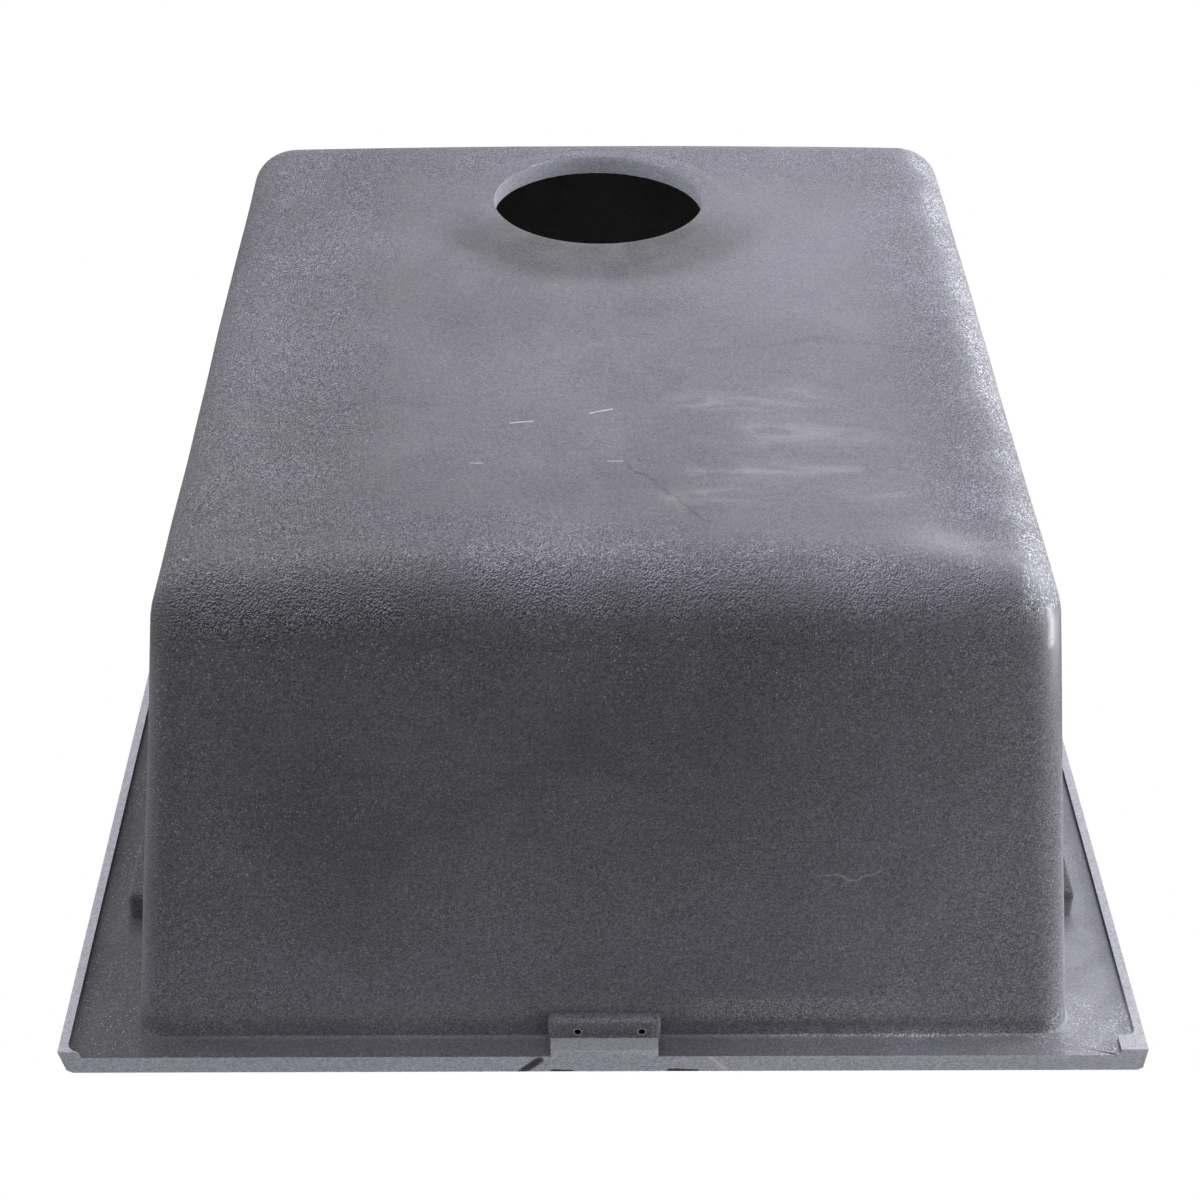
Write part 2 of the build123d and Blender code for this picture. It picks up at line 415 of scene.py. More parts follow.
def hole_rings():
    """Screw hole: a round rod, as place along the boss, distance inwards and height."""
    turn = np.linspace(0, 2 * math.pi, 24, endpoint=False)
    depth = column([-2.0, HOLE_DEPTH])
    along = HOLE_R * np.cos(turn) + 0 * depth
    height = Z_RECESS - HOLE_DROP + HOLE_R * np.sin(turn) + 0 * depth
    return along, np.broadcast_to(depth, along.shape), height


def boss_sides():
    """Each boss's middle, its outward direction and its reach."""
    sides = [((0, FOOT_FRONT), (0, -1), FRONT_REACH), ((0, FOOT_REAR), (0, 1), BOSS_REACH)]
    for y in (-SIDE_BOSS_Y, SIDE_BOSS_Y):
        sides += [((-FOOT_HALF, y), (-1, 0), BOSS_REACH), ((FOOT_HALF, y), (1, 0), BOSS_REACH)]
    return sides


def turned(along, out, height, middle, direction):
    """Carries a block's arrays to its side: out along the direction, along at right angles."""
    x = middle[0] + out * direction[0] - along * direction[1]
    y = middle[1] + out * direction[1] + along * direction[0]
    return np.stack([x, y, height], -1)


def cleaned(mesh):
    """Merges doubles, drops faces of no area and turns all faces outwards."""
    near = 2e-6
    work = bmesh.new()
    work.from_mesh(mesh)
    bmesh.ops.remove_doubles(work, verts=work.verts, dist=near)
    bmesh.ops.dissolve_degenerate(work, edges=work.edges, dist=near)
    bmesh.ops.recalc_face_normals(work, faces=work.faces)
    work.to_mesh(mesh)
    work.free()
    return mesh


def joined_with(piece, tools, way):
    """The piece after a boolean with each tool in turn; the tools are used up."""
    for tool in tools:
        cut = piece.modifiers.new("cut", "BOOLEAN")
        cut.operation, cut.solver, cut.object = way, "MANIFOLD", tool
    graph = bpy.context.evaluated_depsgraph_get()
    made = bpy.data.meshes.new_from_object(piece.evaluated_get(graph))
    piece.modifiers.clear()
    piece.data = made
    for tool in tools:
        bpy.data.objects.remove(tool)


def make_casting():
    """The whole casting: the band, joined with the pad and the bosses, less the screw holes."""
    casting = placed("cast_bowl", cleaned(band_mesh("cast_bowl", casting_rings())))
    added = [placed("front_pad", cleaned(stack_mesh("front_pad", pad_rings())))]
    holes = []
    for middle, direction, reach in boss_sides():
        rings = turned(*boss_rings(reach), middle, direction)
        added.append(placed("boss", cleaned(stack_mesh("boss", rings))))
        face = [m + reach * d for m, d in zip(middle, direction)]
        aside = -FRONT_HOLES_ASIDE if direction[1] < 0 else 0
        for shift in (-HOLE_SPACING / 2, HOLE_SPACING / 2):
            along, depth, height = hole_rings()
            rings = turned(along + shift + aside, -depth, height, face, direction)
            holes.append(placed("hole", cleaned(stack_mesh("hole", rings))))
    joined_with(casting, added, "UNION")
    joined_with(casting, holes, "DIFFERENCE")
    return casting


casting = make_casting()


# Finishes
class Web:
    """Places nodes in a tree: a value that is a socket is linked, any other is set."""

    def __init__(self, tree):
        self.tree = tree

    def put(self, kind, values=None, **settings):
        node = self.tree.nodes.new(kind)
        for name, value in settings.items():
            setattr(node, name, value)
        for key, value in (values or {}).items():
            self.give(node.inputs[key], value)
        return node

    def give(self, socket, value):
        if isinstance(value, bpy.types.NodeSocket):
            self.tree.links.new(value, socket)
        else:
            socket.default_value = value

    def sums(self, way, *values, clamp=False):
        node = self.put("ShaderNodeMath", dict(enumerate(values)), operation=way, use_clamp=clamp)
        return node.outputs[0]

    def times(self, first, second, clamp=False):
        return self.sums("MULTIPLY", first, second, clamp=clamp)

    def plus(self, first, second, clamp=False):
        return self.sums("ADD", first, second, clamp=clamp)

    def less(self, first, second, clamp=False):
        return self.sums("SUBTRACT", first, second, clamp=clamp)

    def vector(self, way, *values, out=0):
        return self.put("ShaderNodeVectorMath", dict(enumerate(values)), operation=way).outputs[out]

    def scaled(self, vector, size):
        values = {0: vector, "Scale": size}
        return self.put("ShaderNodeVectorMath", values, operation="SCALE").outputs[0]

    def blend(self, share, first, second, way="MIX"):
        values = {0: share, 6: first, 7: second}
        return self.put("ShaderNodeMix", values, data_type="RGBA", blend_type=way).outputs[2]

    def toned(self, colour, tone):
        """Colour times a grey value."""
        grey = self.put("ShaderNodeCombineColor", {0: tone, 1: tone, 2: tone}).outputs[0]
        return self.blend(1.0, colour, grey, "MULTIPLY")

    def ramp(self, value, low, high, start=0.0, end=1.0):
        values = {0: value, 1: low, 2: high, 3: start, 4: end}
        return self.put("ShaderNodeMapRange", values, interpolation_type="SMOOTHSTEP").outputs[0]

    def place(self):
        return self.put("ShaderNodeTexCoord").outputs["Object"]

    def drawn(self, place, sizes):
        """Place with each axis scaled by its own size."""
        return self.put("ShaderNodeMapping", {"Vector": place, "Scale": sizes}).outputs[0]

    def noise(self, place, scale, detail=2.0, rough=0.5, warp=0.0):
        values = {"Vector": place, "Scale": scale, "Detail": detail, "Roughness": rough, "Distortion": warp}
        return self.put("ShaderNodeTexNoise", values).outputs["Fac"]

    def cells(self, place, scale):
        values = {"Vector": place, "Scale": scale, "Randomness": 1.0}
        return self.put("ShaderNodeTexVoronoi", values).outputs

    def mask(self, name):
        return self.put("ShaderNodeAttribute", attribute_name=name).outputs["Fac"]

    def use(self, tree, **values):
        """Outputs of a node group that is given these inputs."""
        node = self.put("ShaderNodeGroup", node_tree=tree)
        for key, value in values.items():
            self.give(node.inputs[key.replace("_", " ")], value)
        return node.outputs

    def bump(self, shader, height, strength, distance):
        node = self.put("ShaderNodeBump", {"Height": height, "Strength": strength, "Distance": distance})
        self.give(shader["Normal"], node.outputs[0])


NUMBER, VECTOR = "NodeSocketFloat", "NodeSocketVector"


def group(name, inputs, outputs):
    """Empty node group with the given sockets: its web and its two ends."""
    tree = bpy.data.node_groups.new(name, "ShaderNodeTree")
    for label, kind, value in inputs:
        socket = tree.interface.new_socket(label, in_out="INPUT", socket_type=kind)
        socket.default_value = value
    for label in outputs:
        tree.interface.new_socket(label, in_out="OUTPUT", socket_type=NUMBER)
    web = Web(tree)
    return web, tree.nodes.new("NodeGroupInput").outputs, tree.nodes.new("NodeGroupOutput").inputs


def mineral_grain_group():
    """Grain of the filled resin: a fine height, and pale flecks where a cell's own number is high.

    The number is the fraction of the cell's colour times an odd vector, so that no rows show.
    """
    inputs = [("Scale", NUMBER, 900.0), ("Fleck share", NUMBER, 0.1)]
    web, given, wanted = group("mineral_grain", inputs, ("Height", "Fleck", "Tone"))
    place = web.place()
    cells, bits = web.cells(place, given["Scale"]), web.cells(place, web.times(given["Scale"], 0.55))
    fine = web.noise(place, given["Scale"], 3.0, 0.6)
    lot = web.put("ShaderNodeSeparateColor", {0: cells["Color"]}).outputs[0]
    mixed = web.vector("DOT_PRODUCT", bits["Color"], (17.3, 41.1, 29.7), out=1)
    chosen = web.sums("GREATER_THAN", web.sums("FRACT", mixed), web.less(1.0, given["Fleck share"]))
    spot = web.ramp(bits["Distance"], 0.34, 0.14)
    shine = web.ramp(web.sums("FRACT", web.times(mixed, 3.7)), 0.0, 1.0, 0.3, 1.0)
    web.give(wanted["Fleck"], web.times(web.times(chosen, spot), shine))
    web.give(wanted["Height"], web.plus(web.times(fine, 0.7), web.times(cells["Distance"], 0.5)))
    web.give(wanted["Tone"], web.plus(web.times(lot, 0.4), web.times(fine, 0.6)))
    return web.tree


def stray_line_group():
    """Scratch or smear: one minus the distance to a straight stretch, over its half width.

    The place is first shaken by a noise, and the plane leaves out the axes that don't count.
    """
    inputs = [("From", VECTOR, (0, 0, 0)), ("To", VECTOR, (1, 0, 0)), ("Plane", VECTOR, (1, 1, 0)),
              ("Half width", NUMBER, 0.0005), ("Sway", NUMBER, 0.0006), ("Sway scale", NUMBER, 260.0)]
    web, given, wanted = group("stray_line", inputs, ("Mask",))
    place = web.place()
    noise = {"Vector": place, "Scale": given["Sway scale"], "Detail": 3.0}
    shift = web.put("ShaderNodeTexNoise", noise).outputs["Color"]
    shift = web.vector("SUBTRACT", shift, (0.5, 0.5, 0.5))
    shaky = web.vector("ADD", place, web.scaled(shift, given["Sway"]))
    start = web.vector("MULTIPLY", given["From"], given["Plane"])
    run = web.vector("SUBTRACT", web.vector("MULTIPLY", given["To"], given["Plane"]), start)
    away = web.vector("SUBTRACT", web.vector("MULTIPLY", shaky, given["Plane"]), start)
    share = web.sums("DIVIDE", web.vector("DOT_PRODUCT", away, run, out=1),
                     web.vector("DOT_PRODUCT", run, run, out=1), clamp=True)
    gap = web.vector("LENGTH", web.vector("SUBTRACT", away, web.scaled(run, share)), out=1)
    soft = web.less(1.0, web.sums("DIVIDE", gap, given["Half width"]), clamp=True)
    broken = web.ramp(web.noise(place, 420.0, 2.0), 0.25, 0.5, 0.45, 1.0)
    web.give(wanted["Mask"], web.times(soft, broken))
    return web.tree


def powder_group():
    """Dust, and the painted light that its amount also carries: a soft amount times clouds and a pebbly
    sprinkle, and crumbs where it lies thick.
    """
    web, given, wanted = group("powder", [("Amount", NUMBER, 0.0)], ("Mask", "Crumbs"))
    place = web.place()
    cloud = web.ramp(web.noise(place, 45.0, 4.0, 0.6, 0.5), 0.3, 0.7, 0.55, 1.2)
    pebble = web.noise(place, 1150.0, 2.0, 0.6, 0.3)
    laid = web.times(web.times(given["Amount"], cloud), web.ramp(pebble, 0.38, 0.62, 0.2, 1.35), clamp=True)
    web.give(wanted["Mask"], laid)
    web.give(wanted["Crumbs"], web.times(web.ramp(pebble, 0.54, 0.66), web.ramp(laid, 0.4, 0.95), clamp=True))
    return web.tree


GRAIN = mineral_grain_group()
LINE = stray_line_group()
POWDER = powder_group()

# Planes of stray lines: seen from below, from the front, near the front, and all axes
UNDER, FRONT, NEAR_FRONT, ALL_ROUND = (1, 1, 0), (1, 0, 1), (1, 0.2, 1), (1, 1, 1)

# Stray lines in millimetres: stretches with from, to and half width, then plane, sway and sway scale
HAIR = ([((-8, -119.5, 0), (-18.4, -130.6, 0), 1.0), ((-18.4, -130.6, 0), (-36, -157, 0), 1.0)],
        UNDER, 5.0, 120.0)
TIDE = ([((-34, -34, 0), (-85, -20.5, 0), 3.0), ((-85, -20.5, 0), (-123, -30, 0), 3.0)],
        UNDER, 12.0, 60.0)
SCRATCHES = ([((34.8, -87.4, 0), (26.3, -86.1, 0), 0.5), ((5.1, -80.4, 0), (-3.1, -77.5, 0), 0.6),
              ((48.7, -115.9, 0), (44, -116, 0), 0.35), ((-1, -115.3, 0), (-6.5, -115.3, 0), 0.35)],
             UNDER, 0.4, 200.0)
SCUFF = ([((-78.5, -205.0, 123.5), (-83.9, -205.1, 123.9), 0.5),
          ((-83.9, -205.1, 123.9), (-87.6, -205.3, 126.1), 0.6),
          ((-87.6, -205.3, 126.1), (-98.2, -204.9, 122.2), 0.6)], NEAR_FRONT, 4.0, 220.0)
# Painted highlight: a white line down the left front corner
CORNER_HIGHLIGHT = ([((-151.0, -190.0, 19), (-152.3, -192.1, 32), 2.4)], ALL_ROUND, 0.6, 200.0)
SMEARS = ([((24.0, 0, 196.5), (30.0, 0, 202.0), 2.4), ((19, 0, 201.7), (12, 0, 201.9), 0.9),
           ((-24, 0, 201.5), (-34, 0, 201.9), 1.2)], FRONT, 1.2, 300.0)
NICK = ([((-38.8, 0, 195.1), (-44.9, 0, 201.65), 1.1)], FRONT, 0.6, 300.0)

# Colours of the raw skin and of what lies on it, and of the painted highlight, sheen and rim light
WALL_TONES = (0.068, 0.067, 0.0755, 1), (0.099, 0.097, 0.1095, 1)
UNDER_TONES = (0.115, 0.114, 0.140, 1), (0.171, 0.169, 0.209, 1)
WALL_TINT = (1.02, 1.01, 0.975, 1)
FLECK, PALE_SAND_AND_RIM_LIGHT = (0.50, 0.50, 0.53, 1), (0.42, 0.415, 0.415, 1)
PALE_DUST_AND_SHEEN, CRUMB, WIPED = (0.46, 0.46, 0.53, 1), (0.88, 0.88, 0.92, 1), (0.36, 0.355, 0.385, 1)
STAIN, SCRATCHED = (0.06, 0.06, 0.066, 1), (0.52, 0.515, 0.53, 1)
SCUFFED, HIGHLIGHT_WHITE = (0.34, 0.335, 0.335, 1), (0.95, 0.94, 0.94, 1)

# Colours of the other finishes, with the painted shade of the sleeves' bores and the floor's painted shadow
GROUND_TONES = (0.315, 0.315, 0.372, 1), (0.475, 0.475, 0.555, 1)
GROUND_FLECK, GROUND_DUST_AND_SHEEN = (0.55, 0.55, 0.56, 1), (0.55, 0.545, 0.58, 1)
SMEARED, NICKED = (0.02, 0.02, 0.022, 1), (0.6, 0.595, 0.6, 1)
SHOW_TONES, SHOW_FLECK = ((0.018, 0.018, 0.020, 1), (0.031, 0.031, 0.034, 1)), (0.12, 0.12, 0.13, 1)
SLEEVE_TONES, BORE_PAINTED_SHADE = ((0.17, 0.17, 0.18, 1), (0.36, 0.355, 0.36, 1)), (0.012, 0.012, 0.013, 1)
PAPER_SHADOW_TONES = (0.22, 0.22, 0.225, 1), (0.86, 0.86, 0.86, 1)


def new_finish(name):
    """New material, its web and its shader's inputs."""
    made = bpy.data.materials.new(name)
    made.use_nodes = True
    return made, Web(made.node_tree), made.node_tree.nodes["Principled BSDF"].inputs


def lines(web, table):
    """Greatest mask of a table's stray lines."""
    stretches, plane, sway, sway_scale = table
    total = None
    for start, end, half in stretches:
        mask = web.use(LINE, From=[MM * v for v in start], To=[MM * v for v in end], Plane=plane,
                       Half_width=MM * half, Sway=MM * sway, Sway_scale=sway_scale)[0]
        total = mask if total is None else web.sums("MAXIMUM", total, mask)
    return total


def leather_height(web, place):
    """Height of the leathery skin: lumps of a warped noise, and ridges where a slower one passes
    its middle."""
    place = web.drawn(place, (1.15, 1.0, 1.0))
    lump = web.noise(place, 1300.0, 1.5, 0.55, 0.5)
    middle = web.sums("ABSOLUTE", web.less(web.noise(place, 980.0, 1.0, 0.5, 0.8), 0.5))
    return web.plus(web.times(lump, 0.7), web.ramp(middle, 0.0, 0.13, 0.3, 0.0))


def cast_skin():
    """Raw back of the casting: charcoal, leathery along the edges with painted light and shade on the
    ridges' flanks, paler and dusty below, and painted light, shade and highlights from the masks.
    """
    made, web, shader = new_finish("cast_skin")
    place = web.place()
    relief_and_painted_shade = web.mask("relief_and_painted_shade")
    grain = web.use(GRAIN, Scale=1750.0, Fleck_share=0.26)
    powder = web.use(POWDER, Amount=web.mask("dust_and_sheen"))
    cloud = web.ramp(web.noise(place, 11.0, 4.0, 0.55, 0.4), 0.28, 0.72)
    smoke = web.noise(place, 55.0, 4.0, 0.55, 0.9)
    level = web.put("ShaderNodeSeparateXYZ", {0: place}).outputs[2]
    on_wall = web.times(web.ramp(level, 0.012, 0.045), web.ramp(level, 0.1938, 0.1925))

    # Leathery relief, and painted light and shade on it: each ridge's flank is painted lighter on one side
    # and darker on the other, the same in any light
    reach = (0.00005, 0.00014, -0.00014)
    ahead = leather_height(web, web.vector("ADD", place, reach))
    behind = leather_height(web, web.vector("SUBTRACT", place, reach))
    painted_lit_flank = web.ramp(web.less(ahead, behind), -0.28, 0.28, -1.0, 1.0)
    relief = web.times(web.times(web.plus(ahead, behind), 0.5), relief_and_painted_shade)

    # Dark walls and paler underside, times the painted light and shade of the ridges' flanks and the grain's
    # tone
    dark = web.blend(cloud, *WALL_TONES)
    pale = web.blend(web.plus(web.times(cloud, 0.55), web.times(smoke, 0.45)), *UNDER_TONES)
    pale = web.blend(on_wall, pale, web.blend(1.0, pale, WALL_TINT, "MULTIPLY"))
    # Paler patches of the skin, with the painted light and shade that the same mask lays
    patch = web.plus(web.mask("pale_and_painted_light"), web.times(web.less(smoke, 0.5), 0.22), clamp=True)
    colour = web.blend(patch, dark, pale)
    deep = web.times(relief_and_painted_shade, web.ramp(smoke, 0.3, 0.7, 0.68, 1.15))
    painted_flank_shade = web.sums("POWER", 4.7, web.times(painted_lit_flank, deep))
    evened = web.less(1.0, web.times(web.sums("POWER", deep, 3.0), 0.15))
    swing = web.ramp(on_wall, 0.0, 1.0, 0.22, 0.36)
    tone = web.plus(1.0, web.times(web.ramp(grain["Tone"], 0.2, 0.8, -1.0, 1.0), swing))
    colour = web.toned(colour, web.times(tone, web.times(painted_flank_shade, evened)))

    # Flecks, sand, wiped streaks, haze, dust and crumbs, with the painted highlight, sheen and rim light that
    # the sand, haze and dust masks also lay
    clump = web.ramp(web.noise(place, 34.0, 3.0, 0.6), 0.36, 0.62, 0.25, 1.0)
    fleck = web.times(web.times(grain["Fleck"], web.mask("fleck")), clump)
    sand_and_rim_light = web.times(web.ramp(web.noise(place, 1400.0, 2.0, 0.6), 0.46, 0.68), web.mask("sand_and_rim_light"))
    swept = web.noise(web.drawn(place, (26.0, 70.0, 30.0)), 1.0, 5.0, 0.62, 1.1)
    wipe = web.times(web.times(web.ramp(swept, 0.36, 0.7), web.mask("streak")), 0.4)
    haze_and_highlight = web.times(web.mask("haze_and_highlight"), web.ramp(smoke, 0.3, 0.7, 0.75, 1.2), clamp=True)
    # Dust, laid thicker on each ridge's painted lit flank, so that it adds painted light there
    dust_and_sheen = web.times(powder["Mask"], web.ramp(painted_lit_flank, -0.7, 0.7, 0.55, 1.35), clamp=True)
    for share, laid in ((fleck, FLECK), (sand_and_rim_light, PALE_SAND_AND_RIM_LIGHT), (wipe, WIPED), (haze_and_highlight, PALE_DUST_AND_SHEEN), (dust_and_sheen, PALE_DUST_AND_SHEEN),
                        (powder["Crumbs"], CRUMB)):
        colour = web.blend(share, colour, laid)

    # Dark hair and tide lines, scratches, a scuff on the front wall and a painted highlight down the left
    # front corner
    stain = web.plus(web.times(lines(web, HAIR), 0.5), web.times(lines(web, TIDE), 0.2))
    for share, mark in ((stain, STAIN), (lines(web, SCRATCHES), SCRATCHED),
                        (web.times(lines(web, SCUFF), 0.7), SCUFFED),
                        (web.times(lines(web, CORNER_HIGHLIGHT), 0.85), HIGHLIGHT_WHITE)):
        colour = web.blend(share, colour, mark)
    web.give(shader["Base Color"], colour)

    rough = web.plus(web.ramp(smoke, 0.3, 0.7, 0.62, 0.8), web.times(dust_and_sheen, 0.15), clamp=True)
    web.give(shader["Roughness"], rough)
    shader["Specular IOR Level"].default_value = 0.2
    web.bump(shader, web.plus(relief, web.times(grain["Height"], 0.1)), 1.0, 0.0010)
    return made


def ground_face():
    """Sawn and ground faces: paler, fine flecks, faint saw lines and a few marks."""
    made, web, shader = new_finish("ground_face")
    place = web.place()
    grain = web.use(GRAIN, Scale=1750.0, Fleck_share=0.12)
    cloud = web.noise(place, 30.0, 4.0, 0.6)
    saw = web.noise(web.drawn(place, (14.0, 60.0, 1400.0)), 1.0, 2.0)
    colour = web.blend(web.plus(web.times(cloud, 0.6), web.times(saw, 0.4)), *GROUND_TONES)
    colour = web.toned(colour, web.ramp(grain["Tone"], 0.2, 0.8, 0.72, 1.28))
    # Dust, and painted light on the drain's wall, from the same mask
    dust_and_sheen = web.use(POWDER, Amount=web.mask("dust_and_sheen"))["Mask"]
    smear = web.ramp(lines(web, SMEARS), 0.1, 0.6, 0.0, 0.95)
    for share, laid in ((web.times(grain["Fleck"], 0.5), GROUND_FLECK), (dust_and_sheen, GROUND_DUST_AND_SHEEN),
                        (smear, SMEARED), (lines(web, NICK), NICKED)):
        colour = web.blend(share, colour, laid)
    web.give(shader["Base Color"], colour)
    web.give(shader["Roughness"], web.ramp(cloud, 0.3, 0.7, 0.6, 0.78))
    shader["Specular IOR Level"].default_value = 0.3
    web.bump(shader, web.plus(grain["Height"], web.times(saw, 0.6)), 0.35, 0.0005)
    return made


def show_face():
    """Moulded show side: dark, fine-grained and even, with sparse mineral flecks; its very dark tone is
    partly its own colour and partly painted shade inside the bowl seen through the drain.
    """
    made, web, shader = new_finish("show_face")
    place = web.place()
    grain = web.use(GRAIN, Scale=1300.0, Fleck_share=0.06)
    colour = web.blend(web.noise(place, 22.0, 3.0, 0.55), *SHOW_TONES)
    colour = web.toned(colour, web.ramp(grain["Tone"], 0.2, 0.8, 0.75, 1.25))
    colour = web.blend(web.times(grain["Fleck"], 0.3), colour, SHOW_FLECK)
    web.give(shader["Base Color"], colour)
    web.give(shader["Roughness"], web.ramp(web.noise(place, 90.0, 3.0), 0.3, 0.7, 0.5, 0.64))
    shader["Specular IOR Level"].default_value = 0.09
    web.bump(shader, grain["Height"], 0.3, 0.0004)
    return made


def sleeve_plastic():
    """Screw sleeves: pale moulded plastic, a little dusty, with painted shade where the bore is closed in."""
    made, web, shader = new_finish("sleeve_plastic")
    cloud = web.noise(web.place(), 700.0, 3.0, 0.6)
    open_share = web.put("ShaderNodeAmbientOcclusion", {"Distance": 0.004}, samples=8).outputs["AO"]
    colour = web.blend(cloud, *SLEEVE_TONES)
    # Painted shade deep in the bore, from the occlusion node
    colour = web.blend(web.ramp(open_share, 0.35, 0.75), BORE_PAINTED_SHADE, colour)
    web.give(shader["Base Color"], colour)
    web.give(shader["Roughness"], web.ramp(cloud, 0.3, 0.7, 0.45, 0.65))
    web.bump(shader, cloud, 0.2, 0.0002)
    return made


def share_out_faces(mesh):
    """Gives each face its finish: ground on a ground plane or in the drain's wall, show face inside
    the bowl or above the recess, and raw skin elsewhere."""
    mesh.materials.clear()
    for made in (cast_skin(), ground_face(), show_face()):
        mesh.materials.append(made)
    raw, ground_kind, show_kind = 0, 1, 2
    centre = np.empty(len(mesh.polygons) * 3)
    normal = np.empty_like(centre)
    mesh.polygons.foreach_get("center", centre)
    mesh.polygons.foreach_get("normal", normal)
    x, y, z = centre.reshape(-1, 3).T / MM
    _, facing_y, facing_z = normal.reshape(-1, 3).T
    from_drain = np.hypot(x, y - DRAIN_Y)
    lean = (Z_RECESS - z) * LEAN + WALL_STEP - 1.0
    inside = (np.abs(x) < FOOT_HALF - lean) & (y > FOOT_FRONT + lean) & (y < FOOT_REAR - lean)
    seat = (from_drain > DRAIN_R + 0.1) & (from_drain < SEAT_R + 1) & (z > LAND - 0.2)
    show = (inside & (facing_z > 0)) | seat | (z > Z_RECESS + 0.3)
    ground = (facing_z < -0.3) & (np.abs(z - Z_LIP) < 0.4)
    ground |= (facing_y < -0.3) & (y < RIM_FRONT + FRONT_BREAK + 0.05)
    ground |= (np.abs(from_drain - DRAIN_R) < 0.4) & (z < LAND) & (np.abs(facing_z) < 0.9)
    kind = np.where(ground, ground_kind, np.where(show, show_kind, raw))
    mesh.polygons.foreach_set("material_index", kind.astype(np.int32))


# Masks of the raw skin: places in millimetres, amounts as shares
class Skin:
    """The casting's points, and the regions that several masks share."""

    def __init__(self, mesh):
        points = np.empty(len(mesh.vertices) * 3)
        mesh.vertices.foreach_get("co", points)
        self.x, self.y, self.z = x, y, z = points.reshape(-1, 3).T / MM
        self.lift = z - under_floor(x, y)
        self.below = smooth(self.lift, 23, 1.5)
        self.wall = 1 - self.below
        self.at_front = smooth(y, -150, -185)
        self.on_front = smooth(y, -150, -190)
        self.from_drain = np.hypot(x, y - DRAIN_Y)
        self.recess = (z > Z_RECESS - FOOT_COVE + 0.2) & (z < Z_RECESS + 0.1)
        self.recess_edge = self.recess * smooth(x, -150, -185) * smooth(y, 60, -180)
        self.left_corner = bell(self.corner_angle(-1, 37), 43, 11) * (x < -120) * (y < -150)
        self.left_turn = self.corner_angle(-1, (Z_RECESS - z) * LEAN + BASE_CORNER)
        self.left_edge = bell(self.left_turn, 16, 24) * (x < -100) * (y < -150) * (z < Z_RECESS)

    def corner_angle(self, side, inset):
        """Degrees round an upright front corner: nought towards its side, ninety to the front."""
        return np.degrees(np.arctan2(-(self.y - FOOT_FRONT - inset), side * self.x - FOOT_HALF + inset))

    def spot(self, middle, spread):
        """Soft spot in space."""
        return np.prod([bell(*axis) for axis in zip((self.x, self.y, self.z), middle, spread)], 0)

    def off_stretch(self, near, far):
        """Distance from a straight stretch seen from below: to the nearest of its points."""
        run = np.subtract(far, near)
        share = ((self.x - near[0]) * run[0] + (self.y - near[1]) * run[1]) / (run @ run)
        share = np.clip(share, 0, 1)
        return np.hypot(self.x - near[0] - share * run[0], self.y - near[1] - share * run[1])


def relief_and_painted_shade_mask(skin):
    """Leathery relief and the strength of its painted light and shade: the underside's edges, the bottom
    round and a little on the walls.
    """
    x, y, lift = skin.x, skin.y, skin.lift
    rear_band = 0.13 + 0.3 * smooth(y, 105, 150)
    right_band, left_band = 0.58 * smooth(x, 62, 112), 0.6 * smooth(x, -92, -138)
    front_band = 0.42 * smooth(y - 0.2 * x, -140, -168) + 0.3 * smooth(y, -162, -178)
    floor = skin.below * np.maximum.reduce([rear_band, right_band, front_band, left_band])
    rightward = smooth(x, 20, 140)
    low_crest = 0.6 * smooth(lift, 18 + 9 * rightward, 6 + 7 * rightward)
    crest = smooth(lift, 0.05, 2) * (low_crest + 0.4 * smooth(lift, 84, 14))
    wall = (0.19 + 0.12 * smooth(np.abs(x), 90, 150)) * skin.wall
    relief = np.maximum.reduce([floor, crest * (0.55 + 0.45 * skin.at_front), wall])
    return relief * np.where(skin.recess, 0.6, 1)


def pale_and_painted_light_mask(skin):
    """Paler skin, and painted light and shade: the underside but for a crescent before the drain, on the
    front wall painted light towards its left and its foot and painted shade next to the foot, and in the
    recess painted shade towards its right."""
    x, y, z = skin.x, skin.y, skin.z
    crescent = smooth(np.hypot(x, y - DRAIN_Y + 5), 77, 64) * smooth(y, 96, 62)
    crescent += 0.7 * smooth(skin.from_drain, 55, 50) * smooth(y, 92, 62)
    bright = bell(x, 4, 15) * bell(y, 20, 8)
    duller = smooth(x, 30, 110) * (0.2 + 0.16 * smooth(y, 40, -120))
    under = 0.82 - 0.6 * crescent + 0.6 * bright - duller + 0.16 * smooth(x, -10, -110)
    # Front wall: painted light towards the left end and the foot, painted shade in a band next to the foot
    front = 0.72 * smooth(x, 30, -180) + 0.25 * smooth(x, -60, -160) * smooth(z, 100, 175)
    front = (front + 0.5 * smooth(z, 70, 175)) * (1 - 0.8 * smooth(z, 183, 190))
    pale_and_painted_light = skin.below * under + skin.wall * skin.on_front * front
    # Recess: paler, with painted shade towards the right
    pale_and_painted_light = np.where(skin.recess, 1.0 - 0.85 * smooth(x, 90, 180), pale_and_painted_light)
    side_boss = (np.abs(x) > FOOT_HALF + 0.5) & (z < Z_RECESS - 2)
    return np.where(side_boss, 0.0, pale_and_painted_light)


